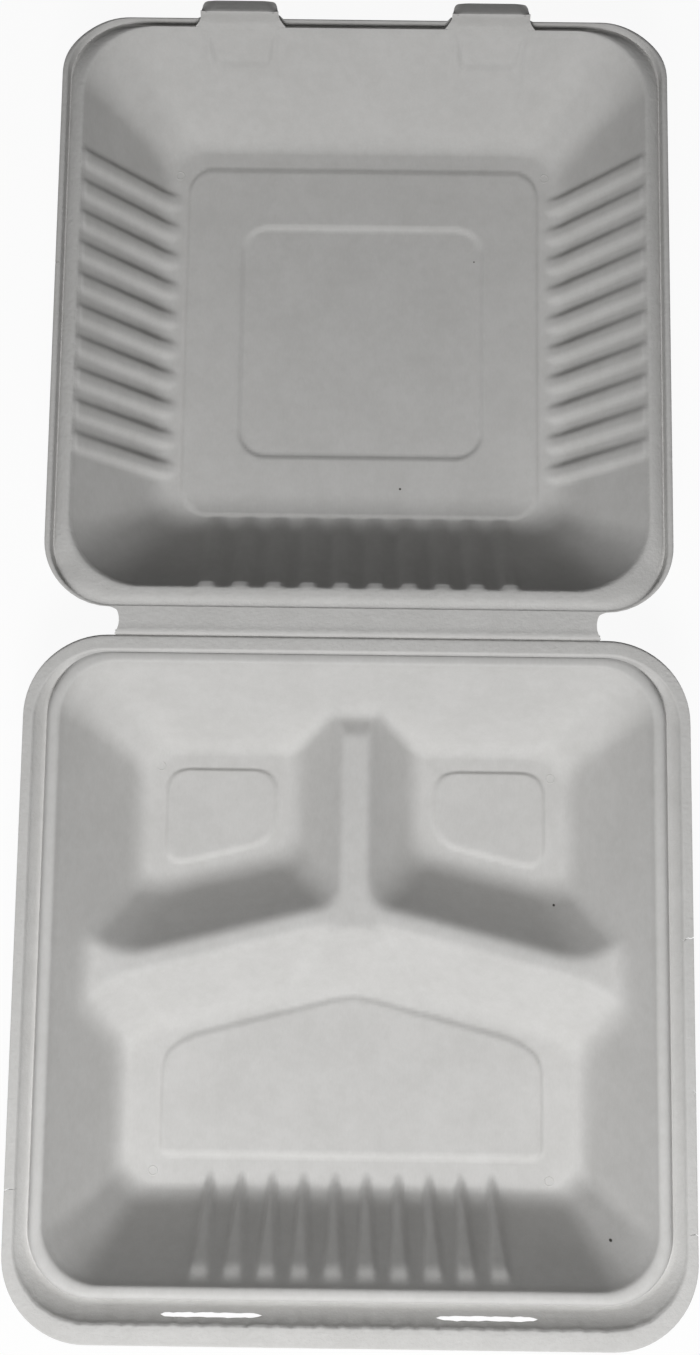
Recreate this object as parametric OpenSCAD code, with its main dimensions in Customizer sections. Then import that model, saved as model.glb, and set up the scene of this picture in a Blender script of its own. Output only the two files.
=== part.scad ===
// Hinged moulded pulp food container, shown open: a three-compartment base and its lid.
// The origin is at the middle of the open container's length and width, on the table.
// The base lies towards -Y and the lid towards +Y, and each is one uniform sheet.

/* [Overall] */
// Width of the base across its flange
base_w = 230; // [222:1:245]
// Length of the base from the fold to its front edge
base_l = 236; // [228:1:250]
// Depth of both trays from the flange to the floor
depth = 40; // [34:1:46]
// Thickness of the pulp sheet
wall = 0.8; // [0.6:0.1:1]
// Radius of the base's outer corners
base_r = 28.5; // [26:0.5:31]

/* [Base rim] */
// Flat flange width along the sides
side_flange = 3.5; // [3:0.5:5]
// Flat flange width along the front
front_flange = 6.7; // [6.2:0.5:9]
// Flat flange width beside the fold
fold_flange = 5.3; // [4.5:0.1:6]
// Width of the closing channel along the sides
side_channel = 4.5; // [4:0.1:5]
// Width of the closing channel along the front
front_channel = 7.4; // [6.9:0.1:8.4]
// Width of the closing channel beside the fold, where it is only a crease
fold_channel = 1; // [0.8:0.1:1.4]
// Depth of the closing channel below the flange
channel_depth = 2.4; // [2:0.1:2.8]
// Width of the raised bead inside the channel
bead_w = 5; // [4.6:0.1:5.6]
// Width of the bead beside the fold
fold_bead_w = 3.6; // [3:0.1:4.4]
// Height of the bead above the flange
bead_h = 0.3; // [0.1:0.1:0.3]

/* [Compartments] */
// How far the front compartment's side walls lean in
side_lean = 19; // [16:0.5:22]
// How far the rear compartments' side walls lean in
rear_side_lean = 23.6; // [21:0.1:26]
// How far the wall beside the fold leans in
fold_lean = 25.3; // [22:0.1:28]
// How far the front wall leans in
front_lean = 22.4; // [19:0.1:25]
// Height of the dividers above the floor
divider_h = 23; // [16:1:26]
// Width of the middle divider along its top
divider_top_w = 9; // [6:0.5:12]
// How far each face of the middle divider leans
divider_lean = 17; // [14:0.5:19]
// Angle by which each arm of the cross divider runs back
arm_angle = 14.5; // [11:0.5:17]
// Distance from the fold to the middle of the cross divider
arm_from_fold = 94.5; // [90:0.5:99]
// Width of the cross divider along its top
arm_top_w = 6.4; // [5:0.1:8]
// How far each face of the cross divider leans
arm_lean = 20.5; // [17:0.5:22]
// Height of the raised pads in the floors
pad_h = 1; // [0.6:0.1:1.4]
// Bare floor between a pad and the foot of the wall
pad_margin = 9.5; // [7:0.5:12]
// Radius of the pads' corners
pad_r = 6; // [4:0.5:8]

/* [Front wall ribs] */
// Number of ribs on the front wall
rib_count = 10; // [6:1:11]
// Spacing of the ribs on the front wall
rib_pitch = 11.15; // [10:0.05:12]
// Width of a rib
rib_w = 5.6; // [4:0.2:6.6]
// Height of a rib over its wall
rib_h = 1.2; // [0.8:0.1:1.6]

/* [Lid] */
// Play between the lid's side lip and the side of the channel
lip_play = 1.5; // [1.3:0.1:1.8]
// Play between the lid's front lip and the side of the channel
front_play = 0.6; // [0.5:0.1:0.9]
// Radius of the lid's outer corners
lid_r = 23.5; // [22:0.5:25]
// Width of the lid's lip
lip_w = 2; // [1.6:0.1:2.2]
// Height of the lid's lip above the fold
lip_h = 0.3; // [0.1:0.1:0.3]
// Depth of the lid's groove below the fold
groove_depth = 1.6; // [1.2:0.1:2]
// Width of the lid's ledge along the sides, inside its lip
ledge_w = 6.1; // [5.6:0.1:6.6]
// Width of the lid's ledge along the front, inside its lip
front_ledge_w = 1.7; // [1.6:0.1:2.4]
// Length of the flat strip between the fold and the lid's rim
strip_l = 9.8; // [9.4:0.1:10.2]
// Width of that strip
strip_w = 166; // [140:1:170]
// How far the lid's side walls lean in
lid_side_lean = 26.2; // [23:0.1:29]
// How far the lid's wall beside the fold leans in
lid_fold_lean = 30; // [27:0.5:33]
// How far the lid's front wall leans in
lid_front_lean = 26; // [23:0.5:29]
// Spacing of the lid's ribs
lid_rib_pitch = 11.8; // [10:0.1:12.4]
// Number of ribs on each of the lid's three ribbed walls
lid_rib_count = 10; // [6:1:11]
// Width of the recessed square in the lid's floor
square_w = 91.5; // [70:0.5:100]

/* [Lock] */
// Distance of each tongue and slot from the middle
tongue_x = 45.6; // [38:0.1:54]
// Width of a tongue at its root
tongue_w = 28; // [20:0.5:30]
// Width of a tongue at its tip
tongue_tip_w = 23; // [16:0.5:24]
// Height of a tongue above the lid's lip
tongue_h = 9.5; // [7:0.5:11]
// Angle by which a tongue leans outwards
tongue_lean = 6; // [4:0.5:7]
// Play between a tongue and the edge of its slot
slot_play = 0.35; // [0.3:0.05:0.6]
// Play between a tongue and each end of its slot
slot_end_play = 2.5; // [1.5:0.1:4]

/* [Fold] */
// Half the gap along the fold line
fold_gap = 0.25; // [0.2:0.05:0.3]

/* [Hidden] */
eps = 0.01;
pulp = [0.93, 0.93, 0.91];

// The lid's outline follows from the channel that it closes into.
lid_hw = base_w / 2 - side_flange - lip_play;
lid_l = base_l - front_flange - front_play;
fold_y = (base_l - lid_l) / 2;
rim_z = wall + depth;
rim_t = 1.25 * wall;

// Rim lines of the base, each as [half width, near, far, corner radius, level, level by the fold].
bead_hw = base_w / 2 - side_flange - side_channel;
bead_far = base_l - front_flange - front_channel;
bead_near = fold_flange + fold_channel;
mouth_hw = bead_hw - bead_w;
mouth_far = bead_far - bead_w;
mouth_near = bead_near + fold_bead_w;
mouth_r = 19.5;
mouth_z = -1.2;
step_w = 0.5;
step_h = 1;
channel_r = base_r - side_flange;
bead_r = mouth_r + 0.45 * bead_w;

function channel_line(share, z, fold_z) = [
    bead_hw + share * side_channel, bead_near - share * fold_channel,
    bead_far + share * front_channel, bead_r + share * (channel_r - bead_r), z, fold_z];
function bead_line(share, z, fold_z) = [
    bead_hw - share * bead_w, bead_near + share * fold_bead_w, bead_far - share * bead_w,
    bead_r + share * (mouth_r - bead_r), z, fold_z];

function base_lines() = [
    [base_w / 2, fold_gap, base_l, base_r, 0, 0],
    channel_line(1, 0, 0),
    channel_line(1 - step_w / side_channel, -step_h, -0.3),
    channel_line(0.27, -channel_depth, -0.5),
    channel_line(0, 0.4 - channel_depth, -0.4),
    bead_line(0.2, bead_h - 0.4, -0.1),
    bead_line(0.5, bead_h, 0.1),
    bead_line(0.85, bead_h - 0.2, 0),
    bead_line(1, mouth_z, mouth_z)
];

// Rim lines of the lid, in the same form.
lid_mouth_hw = lid_hw - lip_w - ledge_w;
lid_mouth_far = lid_l - lip_w - front_ledge_w;
lid_rim_w = 7.2;
lid_mouth_near = strip_l + lid_rim_w;
lid_mouth_r = 26;
ledge_z = -1;
ridge_h = 0.4;
groove_w = 0.7;

function lid_lines() = [
    [lid_hw, strip_l, lid_l, lid_r, lip_h, 0],
    [lid_hw - lip_w, strip_l + 1.1, lid_l - lip_w, lid_r - 1.5, lip_h, -0.4],
    [lid_hw - lip_w - groove_w, strip_l + 2.1, lid_l - lip_w - groove_w, lid_r - 1.9, -groove_depth, -ridge_h],
    [lid_hw - lip_w - 2 * groove_w, strip_l + 4.1, lid_l - lip_w - 1.6 * groove_w, lid_r - 1.5, ledge_z, ridge_h],
    [lid_mouth_hw, lid_mouth_near, lid_mouth_far, lid_mouth_r, mouth_z, 0.6 * ridge_h]
];

// Heights of the base's inside over its floor, at x and at a distance v from the fold.
wall_rise = depth + mouth_z;
arm_slope = divider_h / arm_lean;
arm_foot = arm_top_w / 2 + arm_lean;
foot_near = mouth_near + fold_lean;
foot_far = mouth_far - front_lean;
corner_cut = 8;

function arm_v(x) = arm_from_fold + abs(x) * tan(arm_angle);
function arm_d(x, v) = (v - arm_v(x)) * cos(arm_angle);
function blend01(t) = t <= 0 ? 0 : t >= 1 ? 1 : t * t * (3 - 2 * t);
function base_side_lean(x, v) =
    rear_side_lean + (side_lean - rear_side_lean) * blend01(0.5 + arm_d(x, v) / arm_foot / 2);
function side_rise(x, v, hw, lean) = wall_rise * (abs(x) - hw + lean) / lean;
function far_rise(v, far, lean) = wall_rise * (v - far + lean) / lean;
function near_rise(v, near, lean) = wall_rise * (near + lean - v) / lean;

// A facet across a corner, from its cut at the foot to the mouth's round corner.
function corner_rise(du, dw, u_lean, w_lean, r) =
    let (foot_d = (u_lean + w_lean + corner_cut) * cos(45), mouth_d = 2 * r * (cos(45) - 0.5))
    wall_rise * (foot_d - (du + dw) * cos(45)) / (foot_d - mouth_d);

function arm_rise(x, v) = min(divider_h, (arm_foot - abs(arm_d(x, v))) * arm_slope);
function divider_rise(x, v) =
    min(divider_h, (divider_top_w / 2 + divider_lean - abs(x)) * divider_h / divider_lean,
        (arm_foot - arm_d(x, v)) * arm_slope);

function base_rise(x, v) =
    let (lean = base_side_lean(x, v), du = mouth_hw - abs(x))
    max(0, side_rise(x, v, mouth_hw, lean), far_rise(v, mouth_far, front_lean),
        near_rise(v, mouth_near, fold_lean),
        corner_rise(du, mouth_far - v, lean, front_lean, mouth_r),
        corner_rise(du, v - mouth_near, lean, fold_lean, mouth_r),
        arm_rise(x, v), divider_rise(x, v));

// Heights of the lid's inside over its floor.
function lid_rise(x, v) =
    let (du = lid_mouth_hw - abs(x))
    max(0, side_rise(x, v, lid_mouth_hw, lid_side_lean), far_rise(v, lid_mouth_far, lid_front_lean),
        near_rise(v, lid_mouth_near, lid_fold_lean),
        corner_rise(du, lid_mouth_far - v, lid_side_lean, lid_front_lean, lid_mouth_r),
        corner_rise(du, v - lid_mouth_near, lid_side_lean, lid_fold_lean, lid_mouth_r));

// Vertical thickness that keeps the sheet as thick across a slope as on the level.
probe = 0.8;
max_steep = 2.4;
function steepness(rise_x, rise_v) = min(max_steep, sqrt(1 + rise_x * rise_x + rise_v * rise_v));

function base_level(x, v) = base_rise(x, v) - depth;
function base_under(x, v) = max(-depth - wall, base_level(x, v) - wall * steepness(
    (base_rise(x + probe, v) - base_rise(x - probe, v)) / probe / 2,
    (base_rise(x, v + probe) - base_rise(x, v - probe)) / probe / 2));
function lid_level(x, v) = lid_rise(x, v) - depth;
function lid_under(x, v) = max(-depth - wall, lid_level(x, v) - wall * steepness(
    (lid_rise(x + probe, v) - lid_rise(x - probe, v)) / probe / 2,
    (lid_rise(x, v + probe) - lid_rise(x, v - probe)) / probe / 2));

// Grid columns as [x], and rows as [v at the middle, share of the arms' slant].
divider_foot = divider_top_w / 2 + divider_lean;
foot_hw = mouth_hw - (side_lean + rear_side_lean) / 2;
base_half_columns = [0, divider_top_w / 2, divider_top_w / 2 + 0.5 * divider_lean, divider_foot,
    divider_foot + 0.2 * (foot_hw - divider_foot), divider_foot + 0.4 * (foot_hw - divider_foot),
    divider_foot + 0.6 * (foot_hw - divider_foot), divider_foot + 0.75 * (foot_hw - divider_foot),
    foot_hw - 7, foot_hw - 3, foot_hw];
arm_rear = arm_from_fold - arm_foot / cos(arm_angle);
arm_front = arm_from_fold + arm_foot / cos(arm_angle);
arm_half = arm_top_w / 2 / cos(arm_angle);
base_rows = [[foot_near, 0], [foot_near + 3, 0], [foot_near + 7, 0.1],
    [foot_near + 0.5 * (arm_rear - foot_near), 0.4], [foot_near + 0.75 * (arm_rear - foot_near), 0.7],
    [arm_rear, 1], [(arm_rear + arm_from_fold - arm_half) / 2, 1], [arm_from_fold - arm_half, 1],
    [arm_from_fold + arm_half, 1], [(arm_front + arm_from_fold + arm_half) / 2, 1], [arm_front, 1],
    [arm_front + 0.25 * (foot_far - arm_front), 0.7], [arm_front + 0.5 * (foot_far - arm_front), 0.4],
    [foot_far - 14, 0.1], [foot_far - 7, 0], [foot_far - 3, 0], [foot_far, 0]];
lid_foot_hw = lid_mouth_hw - lid_side_lean;
lid_foot_near = lid_mouth_near + lid_fold_lean;
lid_foot_far = lid_mouth_far - lid_front_lean;
lid_half_columns = [0, 0.2 * lid_foot_hw, 0.4 * lid_foot_hw, 0.6 * lid_foot_hw, 0.75 * lid_foot_hw,
    0.85 * lid_foot_hw, lid_foot_hw - 4, lid_foot_hw];
lid_rows = [for (t = [0, 0.03, 0.07, 0.15, 0.3, 0.45, 0.55, 0.7, 0.85, 0.93, 0.97, 1])
    [lid_foot_near + t * (lid_foot_far - lid_foot_near), 0]];
function both_ways(half) = concat([for (i = [len(half) - 1 : -1 : 1]) -half[i]], half);

// Points of one rim line: corner arcs of six steps, and straights spaced as the grid is.
arc_steps = 3;
function spaced(list, i) =
    let (n = len(list) - 1, lo = list[arc_steps], hi = list[n - arc_steps])
    (list[i] - lo) / (hi - lo);
function side_pt(i, list, a, b, ra, start) =
    let (n = len(list) - 1)
    i <= arc_steps ? a + ra * [cos(start + 45 * i / arc_steps), sin(start + 45 * i / arc_steps)]
    : i >= n - arc_steps ? b + ra * [cos(start + 45 + 45 * (i - n + arc_steps) / arc_steps),
        sin(start + 45 + 45 * (i - n + arc_steps) / arc_steps)]
    : a + (b - a) * spaced(list, i) + ra * [cos(start + 45), sin(start + 45)];
function reversed(list) = [for (i = [len(list) - 1 : -1 : 0]) list[0] + list[len(list) - 1] - list[i]];
function line_pts(line, xs, vs) =
    let (hw = line[0], near = line[1], far = line[2], r = line[3],
        sw = [-hw + r, near + r], se = [hw - r, near + r], ne = [hw - r, far - r], nw = [-hw + r, far - r])
    concat([for (i = [0 : len(xs) - 2]) side_pt(i, xs, sw, se, r, 225)],
        [for (i = [0 : len(vs) - 2]) side_pt(i, vs, se, ne, r, 315)],
        [for (i = [0 : len(xs) - 2]) side_pt(i, reversed(xs), ne, nw, r, 45)],
        [for (i = [0 : len(vs) - 2]) side_pt(i, reversed(vs), nw, sw, r, 135)]);
function line_level(line, v) = line[4] + (line[5] - line[4]) * blend01((line[1] + 14 - v) / 12);

// Perimeter of the grid, in the same order as the rim lines.
function edge_pts(grid, nx, ny) = concat([for (i = [0 : nx - 1]) grid[i]],
    [for (j = [0 : ny - 1]) grid[j * (nx + 1) + nx]],
    [for (i = [nx : -1 : 1]) grid[ny * (nx + 1) + i]],
    [for (j = [ny : -1 : 1]) grid[j * (nx + 1)]]);

// One tray's sheet: an inner grid, walls in steps up to the mouth, then the rim lines.
wall_steps = 6;
module sheet(xs, rows, lines, is_base, has_strip) {
    nx = len(xs) - 1;
    ny = len(rows) - 1;
    around = 2 * (nx + ny);
    last = len(lines) - 1;
    vs = [for (row = rows) row[0] + row[1] * xs[nx] * tan(arm_angle)];
    grid = [for (row = rows) for (x = xs) [x, row[0] + row[1] * abs(x) * tan(arm_angle)]];
    foot = edge_pts(grid, nx, ny);
    mouth = line_pts(lines[last], xs, vs);
    steps = [for (s = [1 : wall_steps - 1]) for (k = [0 : around - 1])
        foot[k] + (mouth[k] - foot[k]) * s / wall_steps];
    inside = concat(grid, steps);
    top_in = [for (p = inside) [p[0], p[1], is_base ? base_level(p[0], p[1]) : lid_level(p[0], p[1])]];
    low_in = [for (p = inside) [p[0], p[1], is_base ? base_under(p[0], p[1]) : lid_under(p[0], p[1])]];
    rim = [for (m = [last : -1 : 0]) for (p = line_pts(lines[m], xs, vs)) [p[0], p[1], line_level(lines[m], p[1])]];
    low_rim = [for (m = [last : -1 : 0]) for (p = line_pts(lines[m], xs, vs))
        [p[0], p[1], line_level(lines[m], p[1]) - (m == last ? wall * max_steep * 0.7 : rim_t)]];
    strip = has_strip ? [for (i = [arc_steps : nx - arc_steps])
        [(2 * spaced(xs, i) - 1) * strip_w / 2, fold_gap, 0]] : [];
    low_strip = [for (p = strip) p - [0, 0, rim_t]];
    top = concat(top_in, rim, strip);
    total = len(top);
    first = (nx + 1) * (ny + 1);
    rings = wall_steps - 1 + len(lines);
    edge = edge_pts([for (i = [0 : first - 1]) i], nx, ny);
    skirt = first + (rings - 1) * around;
    strip_at = first + rings * around;
    strip_quads = [for (i = [0 : len(strip) - 2])
        [strip_at + i, strip_at + i + 1, skirt + arc_steps + i + 1, skirt + arc_steps + i]];
    quads = concat(
        [for (j = [0 : ny - 1]) for (i = [0 : nx - 1]) let (a = j * (nx + 1) + i) [a, a + 1, a + nx + 2, a + nx + 1]],
        [for (m = [0 : rings - 1]) for (k = [0 : around - 1])
            let (k2 = (k + 1) % around, outer = first + m * around)
            [outer + k, outer + k2, m == 0 ? edge[k2] : outer - around + k2, m == 0 ? edge[k] : outer - around + k]],
        has_strip ? strip_quads : []);
    border = has_strip
        ? concat([for (k = [0 : arc_steps]) skirt + k], [for (i = [0 : len(strip) - 1]) strip_at + i],
            [for (k = [nx - arc_steps : around - 1]) skirt + k])
        : [for (k = [0 : around - 1]) skirt + k];
    faces = concat(
        [for (q = quads) [q[0], q[3], q[2]]],
        [for (q = quads) [q[0], q[2], q[1]]],
        [for (q = quads) [q[0] + total, q[2] + total, q[3] + total]],
        [for (q = quads) [q[0] + total, q[1] + total, q[2] + total]],
        [for (k = [0 : len(border) - 1]) let (a = border[k], b = border[(k + 1) % len(border)]) [a, b, b + total]],
        [for (k = [0 : len(border) - 1]) let (a = border[k], b = border[(k + 1) % len(border)])
            [a, b + total, a + total]]);
    polyhedron(points = concat(top, low_in, low_rim, low_strip), faces = faces, convexity = 6);
}

// A rib up a wall: it runs from the foot to the mouth, and stands out by rib_h.
rib_sink = 0.3;
rib_top_share = 0.9;
rib_start = 1.7;
module rib(lean, along) {
    slope_a = atan(wall_rise / lean);
    translate([along, 0, -depth])
        rotate([slope_a, 0, 0])
            hull() {
                translate([-rib_w / 2, rib_start, -rib_sink])
                    cube([rib_w, rib_top_share * norm([wall_rise, lean]), rib_sink]);
                translate([-rib_w / 5, rib_start + rib_h, rib_h - rib_sink])
                    cube([0.4 * rib_w, rib_top_share * norm([wall_rise, lean]) - 2 * rib_h, rib_sink]);
            }
}
module rib_row(count, pitch, lean) {
    for (k = [0 : count - 1])
        rib(lean, (k - (count - 1) / 2) * pitch);
}

// A rounded panel outline from its corner points.
module rounded(points, r) {
    offset(r = r, $fn = 24) offset(delta = -r) polygon(points);
}
module raised_panel(level) {
    translate([0, 0, level - eps])
        linear_extrude(pad_h + eps)
            children();
}
module under_recess(level) {
    translate([0, 0, level - wall - eps])
        linear_extrude(pad_h + eps)
            offset(delta = -1.5 * wall) children();
}

// Outlines of the pads in the base's three floors.
rear_pad_out = mouth_hw - rear_side_lean - pad_margin;
rear_pad_in = divider_foot + pad_margin - 1.5;
pad_near = foot_near + pad_margin - 1;
pad_run = pad_margin / cos(arm_angle);
front_pad_hw = mouth_hw - side_lean - 1.6 * pad_margin;
front_pad_cut = 0.9 * pad_margin;
module rear_pad() {
    rounded([[rear_pad_in, pad_near], [rear_pad_out, pad_near],
        [rear_pad_out, arm_rear + rear_pad_out * tan(arm_angle) - pad_run],
        [rear_pad_in, arm_rear + rear_pad_in * tan(arm_angle) - pad_run]], pad_r);
}
module front_pad() {
    rounded([[0, arm_front + 0.7 * pad_run],
        [front_pad_hw - front_pad_cut, arm_front + 0.7 * pad_run + (front_pad_hw - front_pad_cut) * tan(arm_angle)],
        [front_pad_hw, arm_front + 0.7 * pad_run + (front_pad_hw + 0.5 * front_pad_cut) * tan(arm_angle) + 4],
        [front_pad_hw, foot_far - 1.4 * pad_margin], [-front_pad_hw, foot_far - 1.4 * pad_margin],
        [-front_pad_hw, arm_front + 0.7 * pad_run + (front_pad_hw + 0.5 * front_pad_cut) * tan(arm_angle) + 4],
        [front_pad_cut - front_pad_hw, arm_front + 0.7 * pad_run + (front_pad_hw - front_pad_cut) * tan(arm_angle)]],
        0.5 * pad_r);
}
module base_pads() {
    rear_pad();
    mirror([1, 0]) rear_pad();
    front_pad();
}

// Outlines of the lid's raised panel and of the recessed square within it.
panel_margin = 8.7;
panel_near = lid_foot_near + 0.55 * panel_margin;
panel_far = lid_foot_far - 1.2 * panel_margin;
panel_hw = lid_foot_hw - panel_margin;
square_v = (panel_near + panel_far) / 2;
module lid_panel() {
    difference() {
        rounded([[-panel_hw, panel_near], [panel_hw, panel_near], [panel_hw, panel_far], [-panel_hw, panel_far]],
            1.6 * pad_r);
        translate([0, square_v]) rounded([[-square_w / 2, -square_w / 2], [square_w / 2, -square_w / 2],
            [square_w / 2, square_w / 2], [-square_w / 2, square_w / 2]], 1.6 * pad_r);
    }
}

// The lock: tongues that stand on the lid's front lip, and slots that take them.
tongue_v = lid_l - lip_w;
tongue_root = 2.4;
tongue_r = 3;
tongue_reach = wall / cos(tongue_lean) + (tongue_h + lip_h) * tan(tongue_lean);
slot_l = tongue_w + 2 * slot_end_play;
slot_w = tongue_reach + 2 * slot_play;
module tongue() {
    translate([0, tongue_v + wall / cos(tongue_lean), 0])
        rotate([90 - tongue_lean, 0, 0])
            linear_extrude(wall)
                hull() {
                    translate([-tongue_w / 2, -tongue_root]) square([tongue_w, tongue_root + lip_h + 1]);
                    for (s = [-1, 1])
                        translate([s * (tongue_tip_w / 2 - tongue_r), lip_h + tongue_h - tongue_r])
                            circle(r = tongue_r, $fn = 24);
                }
}
module slot_cut() {
    translate([-slot_l / 2, tongue_v - slot_play, -3 * rim_t - channel_depth])
        cube([slot_l, slot_w, 3 * rim_t + channel_depth + 1]);
}

module base() {
    color(pulp)
        translate([0, fold_y, rim_z])
            mirror([0, 1, 0])
                difference() {
                    union() {
                        sheet(both_ways(base_half_columns), base_rows, base_lines(), true, false);
                        raised_panel(-depth) base_pads();
                        translate([0, foot_far, 0]) rib_row(rib_count, rib_pitch, front_lean);
                    }
                    under_recess(-depth) base_pads();
                    for (s = [-1, 1])
                        translate([s * tongue_x, 0, 0]) slot_cut();
                }
}

module lid() {
    color(pulp)
        translate([0, fold_y, rim_z])
            difference() {
                union() {
                    sheet(both_ways(lid_half_columns), lid_rows, lid_lines(), false, true);
                    raised_panel(-depth) lid_panel();
                    for (s = [-1, 1])
                        translate([s * tongue_x, 0, 0]) tongue();
                    for (s = [-1, 1])
                        translate([s * lid_foot_hw, (lid_foot_near + lid_foot_far) / 2, 0])
                            rotate([0, 0, -90 * s])
                                rib_row(lid_rib_count, lid_rib_pitch, lid_side_lean);
                    translate([0, lid_foot_near, 0])
                        rotate([0, 0, 180])
                            rib_row(lid_rib_count, lid_rib_pitch, lid_fold_lean);
                }
                under_recess(-depth) lid_panel();
            }
}

base();
lid();
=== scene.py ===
"""Looks of an open clamshell food container, moulded from sugar cane pulp.

Two trays hang on one pressed fold. Each tray is a thin sheet whose inside is a height over the
plan (x across, v away from the fold) and whose rim is a row of closed lines round the mouth.
Plan sizes here are in millimetres, and every mesh is placed in metres in the frame of the CAD part.
"""

import logging
import math
from dataclasses import dataclass, field
from enum import Enum
from typing import Iterable, Optional, Sequence, Union

import bpy
import numpy as np
from mathutils import Euler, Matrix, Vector


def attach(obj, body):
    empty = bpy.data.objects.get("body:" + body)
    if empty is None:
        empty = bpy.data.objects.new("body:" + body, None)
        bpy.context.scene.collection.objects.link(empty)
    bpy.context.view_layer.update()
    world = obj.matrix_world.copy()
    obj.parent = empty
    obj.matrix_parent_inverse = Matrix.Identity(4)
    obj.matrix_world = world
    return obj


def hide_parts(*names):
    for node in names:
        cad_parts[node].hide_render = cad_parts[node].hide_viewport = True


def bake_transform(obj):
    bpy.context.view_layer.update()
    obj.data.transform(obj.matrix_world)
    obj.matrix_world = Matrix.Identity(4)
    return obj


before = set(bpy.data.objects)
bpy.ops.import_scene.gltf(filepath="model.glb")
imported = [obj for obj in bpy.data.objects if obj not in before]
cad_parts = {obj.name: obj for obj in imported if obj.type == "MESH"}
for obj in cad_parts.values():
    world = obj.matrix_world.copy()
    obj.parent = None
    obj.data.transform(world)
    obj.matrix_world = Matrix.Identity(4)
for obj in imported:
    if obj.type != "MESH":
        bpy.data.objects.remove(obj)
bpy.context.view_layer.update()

log = logging.getLogger("clamshell")

# Metres in a millimetre.
MM = 0.001
# The pressed fold line: its place along y, and the height of both rims over the table.
FOLD_Y = 3.65
RIM_Z = 40.8
# From the rims down to the floors, and from the rims down to the mouths of the trays.
DEPTH = 40.0
MOUTH_Z = -1.2
WALL_RISE = DEPTH + MOUTH_Z
# Upward part of a normal below which a point counts as the outside, and how far the felt of a rim
# line reaches inwards.
DOWNWARD = -0.02
FELT_MARGIN = 0.3
# Thickness of the trays' walls and floors, at the mouth, of the rims and of the tongues.
SHEET = 0.8
MOUTH_T = 1.25 * SHEET
RIM_T = 1.0
TONGUE_T = 0.55
# The lock slots: distance of their middle line from the fold, half length and half width.
SLOT_V = 227.0
SLOT_HALF_LENGTH = 16.8
SLOT_HALF_WIDTH = 0.65

Array = np.ndarray
Operand = Union["Term", float, int]


class Body(Enum):
    """The two bodies that the joint of the fold connects."""

    BASE = "base"
    LID = "lid"


class Side(Enum):
    """Left and right halves of the container, as signs of x."""

    LEFT = -1
    RIGHT = 1


# Plan maths ------------------------------------------------------------------------------------


def ease(t: Array) -> Array:
    """Smooth step of t, from 0 at 0 to 1 at 1."""
    t = np.clip(t, 0.0, 1.0)
    return t * t * (3.0 - 2.0 * t)


def soft_max(a: Array, b: Array, k: float) -> Array:
    """The larger of two heights, with a fillet where they are within k of each other.

    Args:
        a: first height.
        b: second height.
        k: height difference over which the fillet runs.

    Returns:
        The rounded maximum.
    """
    h = np.maximum(k - np.abs(a - b), 0.0) / k
    return np.maximum(a, b) + h * h * k / 4.0


def soft_min(a: Array, b: Array, k: float) -> Array:
    """The smaller of two heights, rounded over k."""
    return -soft_max(-a, -b, k)


def box_distance(x: Array, v: Array, half: tuple[float, float], r: float) -> Array:
    """Signed distance to a rectangle with round corners, centred on the origin.

    Args:
        x: place across.
        v: place along.
        half: half width and half length.
        r: corner radius.

    Returns:
        Distance, negative inside.
    """
    qx, qv = np.abs(x) - half[0] + r, np.abs(v) - half[1] + r
    outside = np.hypot(np.maximum(qx, 0.0), np.maximum(qv, 0.0))
    return outside + np.minimum(np.maximum(qx, qv), 0.0) - r


def polygon_distance(x: Array, v: Array, corners: Sequence[tuple[float, float]], k: float) -> Array:
    """Signed distance to a convex outline, its corners rounded over k.

    Args:
        x: place across.
        v: place along.
        corners: the outline's corners, anticlockwise.
        k: rounding of the corners.

    Returns:
        Distance, negative inside.
    """
    distance: Optional[Array] = None
    for (ax, av), (bx, bv) in zip(corners, [*corners[1:], corners[0]]):
        length = math.hypot(bx - ax, bv - av)
        plane = ((x - ax) * (bv - av) - (v - av) * (bx - ax)) / length
        distance = plane if distance is None else soft_max(distance, plane, k)
    return distance


def rib_profile(across: Array, count: int, pitch: float, foot: float, top: float) -> Array:
    """Cross profile of an evenly spaced row of ribs.

    Args:
        across: place along the row, from its middle.
        count: number of ribs.
        pitch: distance from one rib to the next.
        foot: half width of a rib at its foot.
        top: half width of its flat top.

    Returns:
        0 between the ribs and 1 on top of them.
    """
    first = -(count - 1) / 2.0
    nearest = np.clip(np.round(across / pitch - first), 0, count - 1) + first
    return ease((foot - np.abs(across - nearest * pitch)) / (foot - top))


# Trays -----------------------------------------------------------------------------------------


@dataclass(frozen=True)
class RimLine:
    """One closed line round a tray's rim: a round-cornered rectangle in the plan of that tray."""

    half_width: float
    near: float
    far: float
    radius: float
    level: float
    fold_level: float
    felt_and_shade: float = 1.0
    fold_reach: float = 14.0
    fold_fade: float = 12.0

    def levels(self, v: Array) -> Array:
        """Height of the line over the rim plane, at distances v from the fold."""
        share = ease((self.near + self.fold_reach - v) / self.fold_fade)
        return self.level + (self.fold_level - self.level) * share


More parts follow.
